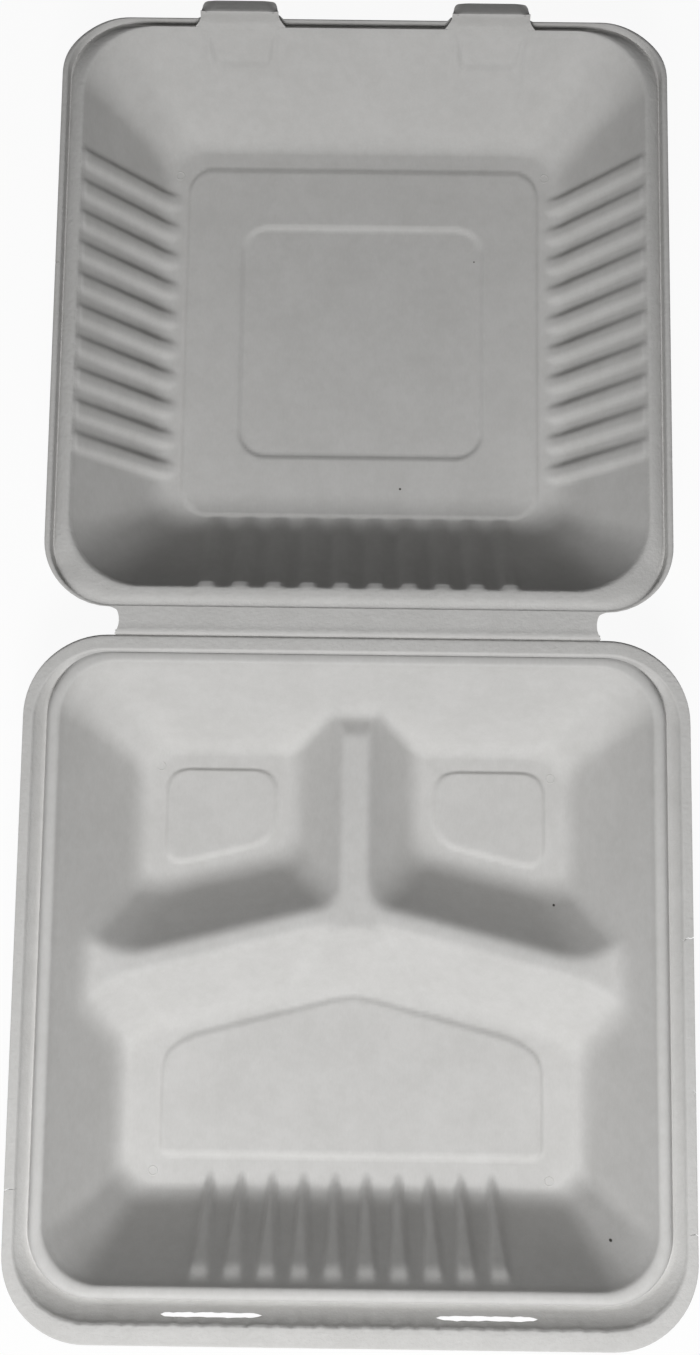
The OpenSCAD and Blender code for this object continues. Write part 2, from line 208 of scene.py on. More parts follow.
@dataclass(frozen=True)
class Spacing:
    """How the points of a tray's mesh are spread along one side of its mouth.

    The straight's places run from corner to corner. Those within kept of its middle lie straight
    above the same places of the wall's foot, whose half length is foot. Half a corner has arc points.
    """

    straight: tuple[float, ...]
    kept: float
    foot: float
    arc: int

    def fractions(self) -> Array:
        """The straight's points as shares of its length."""
        places = np.array(self.straight)
        return (places - places[0]) / (places[-1] - places[0])

    def foot_places(self) -> Array:
        """Places of the same points along the wall's foot, straight below where they can be.

        Returns:
            One place for each point of the side, corner halves included.
        """
        places = np.array(self.straight)
        middle = (places[0] + places[-1]) / 2.0
        kept = places[np.abs(places - middle) <= self.kept]
        spare = (len(places) - len(kept)) // 2 + self.arc
        low = np.linspace(middle - self.foot, kept[0], spare + 1)[:-1]
        high = np.linspace(kept[-1], middle + self.foot, spare + 1)[1:]
        return np.concatenate([low, kept, high])


def ragged(place: Array, size: float) -> Array:
    """An uneven torn line.

    Args:
        place: place along the line.
        size: its largest departure, either way.

    Returns:
        The departure at each place.
    """
    # turn per millimetre, start, share
    waves = ((0.9, 0.3, 0.34), (1.7, 1.9, 0.28), (2.9, 4.1, 0.22), (0.37, 2.2, 0.16))
    return size * sum(share * np.sin(turn * place + start) for turn, start, share in waves)


def spread(stops: Sequence[tuple[float, float]]) -> tuple[float, ...]:
    """Places along a line whose spacing changes from stretch to stretch.

    Args:
        stops: pairs of a stretch's end and its spacing; the first pair gives the start.

    Returns:
        The places, from the first stop to the last.
    """
    places = [stops[0][0]]
    for (start, _), (end, gap) in zip(stops, stops[1:]):
        cells = max(2, 2 * round((end - start) / gap / 2.0))
        places += list(np.linspace(start, end, cells + 1)[1:])
    return tuple(float(p) for p in places)


@dataclass
class Sheet:
    """A mesh being put together: its points in the tray's own plan and its faces."""

    points: list[Array] = field(default_factory=list)
    felt_and_shade: list[Array] = field(default_factory=list)
    faces: list[tuple[int, ...]] = field(default_factory=list)
    total: int = 0

    def add(self, x: Array, v: Array, z: Array, felt_and_shade: Union[Array, float]) -> Array:
        """Adds points.

        Args:
            x: places across.
            v: distances from the fold.
            z: heights over the rim plane.
            felt_and_shade: how felted the sheet is there, from 0 to 1, a share that also sets painted
                shade.

        Returns:
            The indices of the new points.
        """
        block = np.column_stack([x.ravel(), v.ravel(), z.ravel()])
        self.points.append(block)
        self.felt_and_shade.append(np.broadcast_to(felt_and_shade, x.shape).ravel().astype(float))
        index = np.arange(self.total, self.total + len(block))
        self.total += len(block)
        return index

    def quads(self, a: Array, b: Array, c: Array, d: Array) -> None:
        """Adds one face for each row of four equally long index lists."""
        self.faces += list(zip(a.tolist(), b.tolist(), c.tolist(), d.tolist()))

    def triangles(self, a: Array, b: Array, c: Array) -> None:
        """Adds one face for each row of three equally long index lists."""
        self.faces += list(zip(a.tolist(), b.tolist(), c.tolist()))


def make_mesh(
        name: str, points: Array, faces: Iterable[tuple[int, ...]], sharp: float) -> bpy.types.Object:
    """Makes a smooth shaded object.

    Args:
        name: the piece's name.
        points: one row of x, y, z in metres for each vertex.
        faces: vertex indices of each face.
        sharp: angle in degrees above which an edge stays sharp.

    Returns:
        The new object.
    """
    mesh = bpy.data.meshes.new(name)
    mesh.from_pydata(points.tolist(), [], list(faces))
    mesh.validate()
    mesh.polygons.foreach_set("use_smooth", np.ones(len(mesh.polygons), bool))
    mesh.set_sharp_from_angle(angle=math.radians(sharp))
    piece = bpy.data.objects.new(name, mesh)
    bpy.context.scene.collection.objects.link(piece)
    return piece


def around(values: Array) -> Array:
    """A grid's values along its edge, once round, from its first corner."""
    return np.concatenate([values[0, :-1], values[:-1, -1], values[-1, :0:-1], values[:0:-1, 0]])


def ring_side(start: Array, end: Array, r: float, angle: float, spacing: Spacing, flip: bool) -> Array:
    """Points of one side of a rim line, half of each corner's arc included.

    Args:
        start: centre of the arc that the side starts on.
        end: centre of the arc that it ends on.
        r: radius of both arcs.
        angle: direction of the first point from its centre, in degrees.
        spacing: how the side's points are spread.
        flip: whether the side runs against the spacing.

    Returns:
        One row of x and v for each point but the last, which starts the next side.
    """
    turn = np.radians(angle + 45.0 * np.arange(spacing.arc + 1) / spacing.arc)
    turn_on = turn + math.radians(45.0)
    shares = spacing.fractions()
    if flip:
        shares = 1.0 - shares[::-1]
    out = np.array([math.cos(turn[-1]), math.sin(turn[-1])]) * r
    first = start + r * np.column_stack([np.cos(turn), np.sin(turn)])
    straight = start + out + shares[1:-1, None] * (end - start)
    last = end + r * np.column_stack([np.cos(turn_on), np.sin(turn_on)])
    return np.concatenate([first, straight, last])[:-1]


@dataclass
class Tray:
    """What both trays share: the way their sheet is built from heights and rim lines.

    The distance from the fold of the floor's grid runs from foot_near to foot_far. The wall takes
    wall_rings rings of points, along which the small gap between the wall's height and the mouth's
    is spread with a power of blend. The sheet's vertical thickness grows up to steepest times.
    """

    body: Body
    name: str
    columns: Spacing
    rows: Spacing
    foot_near: float
    foot_far: float
    wall_rings: int = 22
    blend: float = 2.5
    steepest: float = 2.4
    probe: float = 0.6

    def rise(self, x: Array, v: Array) -> Array:
        """Height of the inside over the floor; each tray has its own."""
        raise NotImplementedError

    def rim(self) -> list[RimLine]:
        """The rim's lines from the mouth outwards; each tray has its own."""
        raise NotImplementedError

    def shift(self, x: Array, v: Array, line: RimLine) -> tuple[Array, Array]:
        """Local change of a rim line: how far it moves outwards and how far it rises.

        Args:
            x: places across.
            v: distances from the fold.
            line: the rim line.

        Returns:
            The outward and the upward change, none unless a tray says otherwise.
        """
        return np.zeros_like(x), np.zeros_like(x)

    def ring(self, line: RimLine, step: int) -> Array:
        """Points of a rim line, every step-th of the full set.

        Args:
            line: the rim line.
            step: 1 for the inside's full set, 2 for the outside's.

        Returns:
            One row of x and v for each point.
        """
        hw, near, far, r = line.half_width, line.near, line.far, line.radius
        sw, se = np.array([-hw + r, near + r]), np.array([hw - r, near + r])
        ne, nw = np.array([hw - r, far - r]), np.array([-hw + r, far - r])
        points = np.concatenate([
            ring_side(sw, se, r, 225.0, self.columns, False),
            ring_side(se, ne, r, 315.0, self.rows, False),
            ring_side(ne, nw, r, 45.0, self.columns, True),
            ring_side(nw, sw, r, 135.0, self.rows, True),
        ])
        return points[::step]

    def plan_grid(self, step: int) -> tuple[Array, Array]:
        """The floor's grid, every step-th line of it.

        Args:
            step: 1 for the inside, 2 for the outside.

        Returns:
            Two arrays of x and v with one row for each line across.
        """
        x = self.columns.foot_places()[::step]
        v = self.rows.foot_places()
        v = self.foot_near + (v - v[0]) * (self.foot_far - self.foot_near) / (v[-1] - v[0])
        return np.meshgrid(x, v[::step])

    def rim_place(self, line: RimLine, step: int) -> tuple[Array, Array, Array]:
        """Places and heights of a rim line's points."""
        points = self.ring(line, step)
        x, v = points[:, 0], points[:, 1]
        out, up = self.shift(x, v, line)
        return x, v + out, line.levels(v) + up

    def build_face(self, sheet: Sheet, step: int, lower: bool) -> Array:
        """Builds one face of the sheet, from the floor's grid out to the rim's last line.

        Args:
            sheet: the mesh that takes the points and faces.
            step: 1 for every point, 2 for every second one.
            lower: whether this is the outside, a sheet's thickness below the inside.

        Returns:
            The indices of the last ring.
        """
        lines = self.rim()
        gx, gv = self.plan_grid(step)
        grid = sheet.add(gx, gv, self.level(gx, gv, lower), 0.0).reshape(gx.shape)
        self.add_faces(sheet, grid[:-1, :-1], grid[:-1, 1:], grid[1:, 1:], grid[1:, :-1], lower)
        foot_x, foot_v = around(gx), around(gv)
        mx, mv, mz = self.rim_place(lines[0], step)
        gap = mz + DEPTH - self.rise(mx, mv)
        ring = around(grid)
        for k in range(1, self.wall_rings // step):
            share = k / (self.wall_rings // step)
            x = foot_x + (mx - foot_x) * share
            v = foot_v + (mv - foot_v) * share
            z = self.level(x, v, lower) + gap * share ** self.blend
            ring = self.join(sheet, ring, sheet.add(x, v, z, 0.0), lower)
        for line in lines[::step] if lower else lines:
            x, v, z = self.rim_place(line, step)
            drop = RIM_T if line is not lines[0] else MOUTH_T
            ring = self.join(sheet, ring, sheet.add(x, v, z - drop * lower, line.felt_and_shade), lower)
        return ring

    @staticmethod
    def add_faces(sheet: Sheet, a: Array, b: Array, c: Array, d: Array, lower: bool) -> None:
        """Adds quads that look up, or down on the outside."""
        a, b, c, d = a.ravel(), b.ravel(), c.ravel(), d.ravel()
        if lower:
            sheet.quads(a, d, c, b)
        else:
            sheet.quads(a, b, c, d)

    def join(self, sheet: Sheet, inner: Array, outer: Array, lower: bool) -> Array:
        """Joins two closed rings of the same length with faces, and returns the outer one."""
        self.add_faces(sheet, outer, np.roll(outer, -1), np.roll(inner, -1), inner, lower)
        return outer

    def level(self, x: Array, v: Array, lower: bool) -> Array:
        """Height of the sheet's inside or outside over the rim plane.

        Args:
            x: places across.
            v: distances from the fold.
            lower: whether the outside is meant.

        Returns:
            The heights.
        """
        z = self.rise(x, v) - DEPTH
        if not lower:
            return z
        slope_x = (self.rise(x + self.probe, v) - self.rise(x - self.probe, v)) / self.probe / 2.0
        slope_v = (self.rise(x, v + self.probe) - self.rise(x, v - self.probe)) / self.probe / 2.0
        steep = np.minimum(self.steepest, np.sqrt(1.0 + slope_x**2 + slope_v**2))
        return np.maximum(-DEPTH - SHEET, z - SHEET * steep)

    def close_edge(self, sheet: Sheet, top: Array, low: Array) -> None:
        """Joins the inside's last ring to the outside's, which has half as many points."""
        even, odd = top[0::2], top[1::2]
        after, low_after = np.roll(even, -1), np.roll(low, -1)
        sheet.triangles(even, low, odd)
        sheet.triangles(odd, low_after, after)
        sheet.triangles(low, low_after, odd)

    def sheet(self) -> Sheet:
        """The whole closed sheet of the tray."""
        sheet = Sheet()
        top = self.build_face(sheet, 1, False)
        low = self.build_face(sheet, 2, True)
        self.close_edge(sheet, top, low)
        return sheet

    def place(self, points: Array) -> Array:
        """Takes points from the tray's plan to the frame of the part, in metres."""
        sign = 1.0 if self.body is Body.LID else -1.0
        out = np.array(points, float)
        out[:, 1] = FOLD_Y + sign * out[:, 1]
        out[:, 2] += RIM_Z
        return out * MM

    def build(self) -> bpy.types.Object:
        """Builds the tray's piece.

        Returns:
            The tray's object, without its cuts and finish.
        """
        sheet = self.sheet()
        faces = sheet.faces
        if self.body is Body.BASE:
            faces = [tuple(reversed(f)) for f in faces]
        return make_mesh(self.name, self.place(np.concatenate(sheet.points)), faces, 70.0)


@dataclass
class BaseTray(Tray):
    """The base: two compartments by the fold, one at the front, and a bead inside a channel."""

    body: Body = Body.BASE
    name: str = "base_tray"
    columns: Spacing = Spacing(
        spread([(-82.5, 0), (-57.0, 1.4), (57.0, 0.93), (82.5, 1.4)]), 60.0, 79.5, 9)
    rows: Spacing = Spacing(spread([(29.4, 0), (197.4, 1.14)]), 70.0, 79.65, 9)
    foot_near: float = 36.0
    foot_far: float = 193.5
    mouth_hw: float = 102.0
    mouth_near: float = 9.9
    mouth_far: float = 216.9
    mouth_r: float = 19.5
    side_lean: float = 19.0
    rear_lean: float = 23.6
    fold_lean: float = 25.3
    front_lean: float = 22.4
    crest: float = 23.0
    divider_half: float = 4.5
    divider_run: float = 17.0
    arm_from_fold: float = 94.5
    arm_angle: float = 14.5
    arm_half: float = 3.2
    arm_run: float = 20.5
    arm_bend: float = 7.0
    flare_du: float = 94.3
    rib_count: int = 10
    rib_pitch: float = 11.15
    flange_far: float = 229.0

    def rim(self) -> list[RimLine]:
        """The rim's lines, from the mouth over the bead and the channel to the flange's edge."""
        bead = [(1.0, MOUTH_Z, MOUTH_Z), (0.94, -0.55, -0.6), (0.84, -0.05, -0.1), (0.7, 0.2, 0.08),
                (0.52, 0.3, 0.12), (0.36, 0.2, 0.12), (0.22, -0.2, 0.08), (0.08, -1.1, -0.1)]
        channel = [(0.0, -2.5, -0.3), (0.05, -3.6, -0.36), (0.12, -4.1, -0.4), (0.22, -4.0, -0.4),
                   (0.42, -3.2, -0.38), (0.65, -2.2, -0.34), (0.84, -1.3, -0.26), (0.94, -0.7, -0.14),
                   (1.0, -0.1, -0.02)]
        flange = [(0.1, 0.0, 0.0), (0.35, 0.0, 0.0), (0.65, 0.0, 0.0), (0.82, 0.0, 0.0),
                  (0.9, 0.0, -0.1), (0.955, -0.03, -0.5), (0.985, -0.1, -0.76), (1.0, -0.28, -0.86)]
        lines = [RimLine(107.0 - 5.0 * s, 6.3 + 3.6 * s, 221.9 - 5.0 * s, 21.75 - 2.25 * s, z, f, 0.25)
                 for s, z, f in bead]
        lines += [RimLine(107.0 + 4.5 * s, 6.3 - s, 221.9 + 7.4 * s, 21.75 + 3.25 * s, z, f, 0.6)
                  for s, z, f in channel]
        lines += [RimLine(111.5 + 3.5 * s, 5.3 - 5.15 * s, 229.3 + 6.7 * s, 25.0 + 3.5 * s, z, f, 1.0)
                  for s, z, f in flange]
        return lines

    def shift(self, x: Array, v: Array, line: RimLine) -> tuple[Array, Array]:
        """The channel is deeper along the front, where the felted flange begins in a ragged edge."""
        edge = math.exp(-(((line.far - self.flange_far) / 0.9) ** 2))
        front = ease((v - line.far + 24.0) / 22.0)
        deeper = 1.2 * min(0.0, line.level + 0.3) * (line.half_width >= 107.0)
        up = front * (deeper - 0.35 * edge * (0.5 + ragged(x + 40.0, 0.5)))
        return edge * front * ragged(x, 0.5), up

    def arm_distance(self, x: Array, v: Array) -> Array:
        """Distance from the middle line of the two arms, negative towards the fold."""
        angle = math.radians(self.arm_angle)
        out = np.hypot(x, self.arm_bend) - self.arm_bend * 0.55
        return (v - self.arm_from_fold - out * math.tan(angle)) * math.cos(angle)

    def walls(self, x: Array, v: Array) -> Array:
        """Height of the four walls and their corner facets over the floor."""
        d = self.arm_distance(x, v)
        reach = self.arm_half + self.arm_run
        lean = self.rear_lean + (self.side_lean - self.rear_lean) * ease(0.5 + d / reach / 2.0)
        du, near, far = self.mouth_hw - np.abs(x), v - self.mouth_near, self.mouth_far - v
        depth = far / self.front_lean
        taper = 1.6 * ease(depth)
        rib = rib_profile(x, self.rib_count, self.rib_pitch, 4.0 - taper, 2.2 - taper)
        rib = rib * ease((far - 0.5) / 5.5)
        front = WALL_RISE * (1.0 - (far - 1.3 * rib) / (self.front_lean + 3.4 * rib))
        side = WALL_RISE * (1.0 - du / lean)
        fold = WALL_RISE * (1.0 - near / self.fold_lean)
        front = np.minimum(front, WALL_RISE)
        walls = soft_max(side, soft_max(front, fold, 2.0), 5.0)
        for w, w_lean in ((far, self.front_lean), (near, self.fold_lean)):
            walls = soft_max(walls, self.corner(du, w, lean, w_lean), 4.2)
        return walls

    def corner(self, du: Array, dw: Array, lean: Array, w_lean: float) -> Array:
        """Height of the facet across a corner.

        Args:
            du: distance from the side's mouth.
            dw: distance from the other wall's mouth.
            lean: plan width of the side wall.
            w_lean: plan width of the other wall.

        Returns:
            Height over the floor.
        """
        half = math.cos(math.radians(45.0))
        foot_d = (lean + w_lean + 8.0) * half
        mouth_d = 2.0 * self.mouth_r * (half - 0.5)
        return WALL_RISE * (foot_d - (du + dw) * half) / (foot_d - mouth_d)

    def dividers(self, x: Array, v: Array) -> Array:
        """Height of the divider, the arms and the flares where the arms meet the side walls."""
        d = self.arm_distance(x, v)
        slope = self.crest / self.arm_run
        arm = (self.arm_half + self.arm_run - np.abs(d)) * slope
        arm_rear = (self.arm_half + self.arm_run - d) * slope
        middle = (self.divider_half + self.divider_run - np.abs(x)) * self.crest / self.divider_run
        ridge = soft_max(arm, soft_min(middle, arm_rear, 3.0), 11.0)
        du = self.flare_du - np.abs(x)
        for sign, reach in ((-1.0, 14.0), (1.0, 8.0)):
            dw = np.maximum(sign * d - self.arm_half, 0.0)
            flare = self.crest + 1.1 * (reach - (du + 1.3 * dw)) / 1.64
            ridge = soft_max(ridge, np.where(sign * d > 0, flare, -9.0), 6.5)
        crest = self.crest - 3.6 * ease((34.0 - v) / 9.0)
        return soft_min(ridge, crest, 2.2)

    def pads(self, x: Array, v: Array) -> Array:
        """Height of the raised pads on the three floors."""
        ax = np.abs(x)
        rear = polygon_distance(
            ax, v, [(29.0, 43.7), (69.0, 43.7), (69.0, 79.2), (29.0, 69.4)], 9.0)
        front = polygon_distance(
            x, v, [(-68.0, 181.0), (-68.0, 147.0), (-61.5, 140.5), (0.0, 124.6), (61.5, 140.5),
                   (68.0, 147.0), (68.0, 181.0)], 4.0)
        return 1.25 * (ease(0.5 - rear / 1.3) + ease(0.5 - front / 1.3))

    def rise(self, x: Array, v: Array) -> Array:
        """Height of the base's inside over its floor."""
        floor = self.pads(x, v)
        ridges = soft_max(floor, self.dividers(x, v), 5.0)
        return soft_max(ridges, self.walls(x, v), 6.0)


@dataclass
class LidTray(Tray):
    """The lid: ribbed walls, a raised panel with a square recess, and the strip to the fold."""

    body: Body = Body.LID
    name: str = "lid_tray"
    columns: Spacing = Spacing(
        spread([(-75.9, 0), (-59.0, 1.4), (59.0, 0.98), (75.9, 1.4)]), 60.0, 76.5, 10)
    rows: Spacing = Spacing(
        spread([(43.0, 0), (63.0, 1.4), (183.0, 1.0), (199.0, 1.4)]), 70.0, 76.5, 10)
    foot_near: float = 46.5
    foot_far: float = 199.5
    mouth_hw: float = 101.9
    mouth_near: float = 17.0
    mouth_far: float = 225.0
    mouth_r: float = 26.0
    side_lean: float = 26.2
    fold_lean: float = 30.0
    front_lean: float = 26.0
    panel_half: tuple[float, float] = (67.0, 68.3)
    panel_v: float = 120.25
    square_half: tuple[float, float] = (45.8, 45.2)
    square_v: float = 120.0
    floor_r: float = 10.0
    rib_count: int = 10
    side_pitch: float = 11.75
    side_first: float = 69.5
    near_pitch: float = 11.8
    tongue_x: float = 45.6

    def rim(self) -> list[RimLine]:
        """The rim's lines, from the mouth over the ledge and the crevice to the lip's edge."""
        rows = [
            # half width, near, far, radius, level, level by the fold
            (101.9, 17.0, 225.0, 26.0, MOUTH_Z, 0.1),
            (102.4, 16.4, 225.2, 25.9, -0.75, 0.32),
            (103.2, 15.6, 225.45, 25.7, -0.68, 0.4),
            (104.9, 14.4, 225.75, 25.0, -1.3, 0.42),
            (106.3, 13.2, 226.1, 23.4, -2.15, 0.36),
            (106.9, 12.2, 226.5, 22.8, -2.9, -0.05),
            (107.15, 11.5, 227.1, 22.4, -3.5, -0.3),
            (107.5, 11.0, 228.4, 22.3, -3.5, -0.36),
            (107.75, 10.6, 228.9, 22.4, -2.2, -0.38),
            (107.95, 10.3, 229.1, 22.5, -0.6, -0.3),
            (108.2, 10.15, 229.25, 22.7, 0.05, -0.16),
            (108.8, 10.0, 229.45, 23.0, 0.18, -0.05),
            (109.4, 9.9, 229.7, 23.3, 0.14, 0.0),
            (109.85, 9.84, 229.95, 23.5, -0.02, 0.0),
            (110.0, 9.8, 230.05, 23.6, -0.24, 0.0),
        ]
        return [RimLine(*row, felt_and_shade=0.9) for row in rows]

    def tongue_window(self, x: Array, half: float, soft: float) -> Array:
        """1 where x is within half of a tongue's middle, fading to 0 over soft."""
        return ease((half + soft / 2.0 - np.abs(np.abs(x) - self.tongue_x)) / soft)

    def shift(self, x: Array, v: Array, line: RimLine) -> tuple[Array, Array]:
        """The lip lies lower along the front, and gives way to a plain slope under a tongue."""
        window = self.tongue_window(x, 14.6, 1.6) * (v > 150.0)
        slope = MOUTH_Z + 1.45 * (line.far - self.mouth_far)
        drop = 1.9 * min(1.0, max(0.0, (line.far - 227.9) / 0.8)) + 0.75 * max(0.0, line.far - 228.9)
        low = -drop * ease((v - line.far + 20.0) / 18.0)
        up = (1.0 - window) * low + window * (np.minimum(slope, 0.0) - line.level)
        return np.zeros_like(x), up

    def walls(self, x: Array, v: Array) -> Array:
        """Height of the four ribbed walls and their corner facets over the floor."""
        du, near, far = self.mouth_hw - np.abs(x), v - self.mouth_near, self.mouth_far - v
        middle = (self.rib_count - 1) / 2.0 * self.side_pitch
        side_rib = rib_profile(v - self.side_first - middle, self.rib_count, self.side_pitch, 4.7, 1.2)
        near_rib = rib_profile(x, self.rib_count, self.near_pitch, 4.6, 1.2)
        side = WALL_RISE * (1.0 - (du - 1.3 * side_rib) / (self.side_lean + 1.6 * side_rib))
        fold = WALL_RISE * (1.0 - (near - 1.7 * near_rib) / (self.fold_lean + 1.0 * near_rib))
        front = WALL_RISE * (1.0 - far / self.front_lean)
        below = np.clip((WALL_RISE - front) / 10.0, 0.0, 1.5)
        recess = self.tongue_window(x, 13.0 - 3.0 * below, 1.7) * ease((1.3 - below) / 0.35)
        front = front - 2.3 * recess
        side, fold = np.minimum(side, WALL_RISE), np.minimum(fold, WALL_RISE)
        walls = soft_max(side, soft_max(front, fold, 2.0), 5.0)
        for w, w_lean in ((far, self.front_lean), (near, self.fold_lean)):
            half = math.cos(math.radians(45.0))
            foot_d = (self.side_lean + w_lean + 8.0) * half
            mouth_d = 2.0 * self.mouth_r * (half - 0.5)
            facet = WALL_RISE * (foot_d - (du + w) * half) / (foot_d - mouth_d)
            walls = soft_max(walls, facet, 5.0)
        return walls

    def rise(self, x: Array, v: Array) -> Array:
        """Height of the lid's inside over its floor."""
        panel = box_distance(x, v - self.panel_v, self.panel_half, self.floor_r)
        square = box_distance(x, v - self.square_v, self.square_half, self.floor_r)
        floor = 1.2 * (ease(0.5 - panel / 1.4) - ease(0.5 - square / 1.3))
        return soft_max(floor, self.walls(x, v), 6.0)

    def close_edge(self, sheet: Sheet, top: Array, low: Array) -> None:
        """Closes the edge, with the flat strip that runs to the fold at the near side."""
        straight = np.arange(self.columns.arc, self.columns.arc + len(self.columns.straight))
        strip_v = [9.4, 8.9, 8.2, 7.2, 6.0, 4.9, 3.8, 3.0, 2.3, 1.7, 1.1, 0.75, 0.5, 0.32, 0.15]
        share = 2.0 * self.columns.fractions() - 1.0
        low_share = share[::2]
        inner, inner_low = top[straight], low[straight[::2] // 2]
        sides = [(inner[0], inner_low[0], inner[-1], inner_low[-1])]
        for v in strip_v:
            width = self.strip_half(v)
            dip = 0.95 * math.exp(-((v / 0.36) ** 2)) - 0.25 * math.exp(-(((v - 1.7) / 1.0) ** 2))
            x = share * width
            row = sheet.add(x, np.full_like(x, v), np.full_like(x, -dip), 1.0)
            self.add_faces(sheet, row[:-1], row[1:], inner[1:], inner[:-1], False)
            x = low_share * width
            row_low = sheet.add(x, np.full_like(x, v), np.full_like(x, -RIM_T), 1.0)
            self.add_faces(sheet, row_low[:-1], row_low[1:], inner_low[1:], inner_low[:-1], True)
            inner, inner_low = row, row_low
            sides.append((row[0], row_low[0], row[-1], row_low[-1]))
        left, left_low, right, right_low = np.array(sides).T
        self.edge_strip(sheet, left, left_low)
        self.edge_strip(sheet, right[::-1], right_low[::-1])
        even, odd = inner[0::2], inner[1::2]
        sheet.triangles(even[:-1], inner_low[:-1], odd)
        sheet.triangles(odd, inner_low[1:], even[1:])
        sheet.triangles(inner_low[:-1], inner_low[1:], odd)
        rest = np.concatenate([top[straight[-1]:], top[:straight[0] + 1]])
        rest_low = np.concatenate([low[straight[-1] // 2:], low[:straight[0] // 2 + 1]])
        even, odd = rest[0::2], rest[1::2]
        sheet.triangles(even[:-1], rest_low[:-1], odd)
        sheet.triangles(odd, rest_low[1:], even[1:])
        sheet.triangles(rest_low[:-1], rest_low[1:], odd)

    @staticmethod
    def strip_half(v: float) -> float:
        """Half width of the flat strip, waisted between the two trays' corners."""
        return 83.0 + 1.6 * (abs(v - 4.9) / 4.9) ** 2.2 + 1.9 * max(0.0, (v - 8.4) / 1.4) ** 2

    @staticmethod
    def edge_strip(sheet: Sheet, top: Array, low: Array) -> None:
        """Joins two open rows of points at the strip's side."""
        sheet.quads(top[:-1], low[:-1], low[1:], top[1:])


def tongue_mesh(tray: LidTray, side: Side) -> bpy.types.Object:
    """Builds a lock tongue that stands on the lid's front lip.

    Args:
        tray: the lid that carries it.
        side: left or right.

    Returns:
        The tongue's object.
    """
    stations = np.array([
        # distance from the fold, height, half width, how far the sides fall
        (225.0, -1.4, 17.2, 0.0), (225.6, -0.3, 16.2, 0.2), (226.05, 0.6, 15.3, 0.5),
        (226.3, 1.6, 14.7, 0.6), (226.45, 2.8, 14.35, 0.5), (226.55, 4.2, 14.2, 0.4),
        (226.65, 5.6, 14.15, 0.5), (226.85, 6.6, 14.1, 0.9), (227.2, 6.95, 14.05, 1.2),
        (228.0, 6.75, 13.95, 1.3), (229.1, 6.25, 13.8, 1.3), (230.2, 5.75, 13.6, 1.2),
        (231.2, 5.25, 13.4, 0.9), (232.0, 4.85, 13.0, 0.6), (232.45, 4.65, 12.5, 0.4),
        (232.7, 4.5, 11.8, 0.3)])
    side_curve = 3.6
    along = np.linspace(0.0, len(stations) - 1.0, 46)
    v, z, half, fall = (
        np.interp(along, np.arange(len(stations)), column)[:, None] for column in stations.T)
    share = np.sin(np.linspace(-1.0, 1.0, 61) * math.pi / 2.0)[None, :]
    off = np.clip((np.abs(share) * half - half + side_curve) / side_curve, 0.0, 1.0) ** 1.4
    x = share * half + side.value * tray.tongue_x
    dv, dz = np.gradient(v[:, 0])[:, None], np.gradient(z[:, 0])[:, None]
    steep = dz / np.hypot(dv, dz)
    top = np.stack([x, v + fall * off * steep, z - fall * off * np.sqrt(1.0 - steep**2)], axis=-1)
    along_step, across_step = np.gradient(top, axis=0), np.gradient(top, axis=1)
    normal = np.cross(along_step, across_step)
    normal /= np.linalg.norm(normal, axis=-1, keepdims=True)
    normal *= np.where(normal[..., 2:] > 0.0, 1.0, -1.0)
    thick = TONGUE_T * np.clip(np.minimum(1.0 - np.abs(share), 0.08) / 0.08, 0.25, 1.0)
    low = top - normal * thick[..., None]
    rows, cols = x.shape
    upper = np.arange(rows * cols).reshape(rows, cols)
    lower = upper + rows * cols
    edge, low_edge = around(upper), around(lower)
    sheet = Sheet()
    tray.add_faces(sheet, upper[:-1, :-1], upper[:-1, 1:], upper[1:, 1:], upper[1:, :-1], False)
    tray.add_faces(sheet, lower[:-1, :-1], lower[:-1, 1:], lower[1:, 1:], lower[1:, :-1], True)
    sheet.quads(np.roll(edge, -1), edge, low_edge, np.roll(low_edge, -1))
    points = np.concatenate([top.reshape(-1, 3), low.reshape(-1, 3)])
    return make_mesh(f"lock_tongue_{side.name.lower()}", tray.place(points), sheet.faces, 55.0)


# Finishes --------------------------------------------------------------------------------------


class Term:
    """An output socket that takes part in Python arithmetic."""

    def __init__(self, graph: "Graph", socket: bpy.types.NodeSocket) -> None:
        """Keeps the graph that the socket belongs to."""
        self.graph = graph
        self.socket = socket

    def math(self, operation: str, *others: Operand) -> "Term":
        """A Math node on this value and the others."""
        return self.graph.node("ShaderNodeMath", {"operation": operation}, [self, *others])

    def reflected(self, operation: str, other: Operand) -> "Term":
        """A Math node with this value as its second input."""
        return self.graph.node("ShaderNodeMath", {"operation": operation}, [other, self])

    def __add__(self, other: Operand) -> "Term":
        """Sum."""
        return self.math("ADD", other)

    __radd__ = __add__

    def __sub__(self, other: Operand) -> "Term":
        """Difference."""
        return self.math("SUBTRACT", other)

    def __rsub__(self, other: Operand) -> "Term":
        """Difference from a plain number."""
        return self.reflected("SUBTRACT", other)

    def __mul__(self, other: Operand) -> "Term":
        """Product."""
        return self.math("MULTIPLY", other)

    __rmul__ = __mul__

    def clamped(self) -> "Term":
        """The value kept between 0 and 1."""
        return self.graph.node("ShaderNodeClamp", {}, [self])


